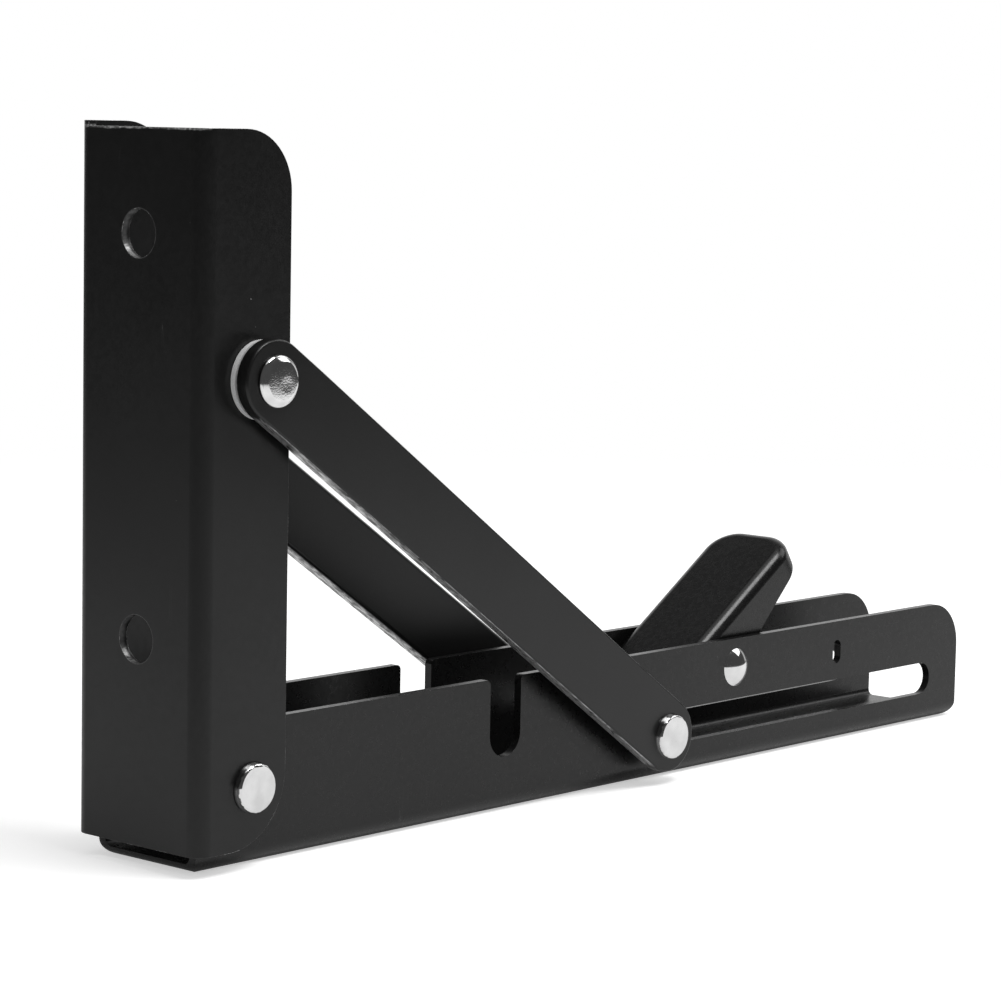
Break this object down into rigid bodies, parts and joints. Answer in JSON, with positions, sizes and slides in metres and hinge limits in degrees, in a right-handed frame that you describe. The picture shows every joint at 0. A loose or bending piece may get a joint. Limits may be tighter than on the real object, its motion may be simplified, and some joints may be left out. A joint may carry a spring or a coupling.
{
  "type": "drop leaf table bracket",
  "caption": "Folding steel bracket for a drop leaf or shelf: a wall channel and a hinged arm channel, held square by side struts, with a release lever.",
  "frame": {"origin": "on the leaf face, below the middle of the whole bracket, half way along the arm and in the middle plane", "axes": "+X along the arm from the wall to the free end, +Z away from the leaf along the wall channel, Y across the bracket"},
  "size_m": [0.2542, 0.0478, 0.1402],
  "materials": {
    "black_paint": "satin black powder coat",
    "strut_paint": "satin black powder coat, worn at the sheared edges",
    "lever_paint": "semi gloss black powder coat",
    "nickel": "bright nickel plate",
    "bare_steel": "turned steel",
    "washer_grey": "dull grey",
    "spring_wire": "drawn spring wire"
  },
  "bodies": {
    "wall": {"wall_channel": "black_paint", "hinge_rivet": "nickel", "strut_pivot_rivet": "nickel", "near_strut_washer": "washer_grey", "far_strut_washer": "washer_grey", "near_hinge_washer": "washer_grey", "far_hinge_washer": "washer_grey"},
    "arm": {"arm_channel": "black_paint", "lever_rivet": "nickel", "lever_spring": "spring_wire"},
    "lever": {"release_lever": "lever_paint"},
    "slider": {"slide_pin": "bare_steel", "near_slide_spacer": "bare_steel", "far_slide_spacer": "bare_steel"},
    "struts": {"near_strut": "strut_paint", "far_strut": "strut_paint", "near_slide_stud": "nickel", "far_slide_stud": "nickel"}
  },
  "joints": [
    {"name": "fold", "type": "hinge", "parent": "wall", "child": "arm", "pos_m": [-0.11315, 0, 0.016], "axis": [0, -1, 0], "range_deg": [0, 90]},
    {"name": "strut_swing", "type": "hinge", "parent": "wall", "child": "struts", "pos_m": [-0.11255, 0, 0.0929], "axis": [0, -1, 0], "range_deg": [0, 122.25]},
    {"name": "pin_slide", "type": "slide", "parent": "arm", "child": "slider", "axis": [1, 0, 0], "range_m": [0, 0.10148]},
    {"name": "lever_press", "type": "hinge", "parent": "arm", "child": "lever", "pos_m": [0.03975, 0, 0.0214], "axis": [0, 1, 0], "range_deg": [0, 33], "stiffness_Nm_per_rad": 0.05, "springref_deg": -28.65, "deforming": ["lever_spring"]}
  ],
  "couplings": [
    {"joint": "strut_swing", "follows": "fold", "ratio": 1.3582},
    {"joint": "pin_slide", "follows": "fold", "m_per_rad": 0.064599}
  ]
}
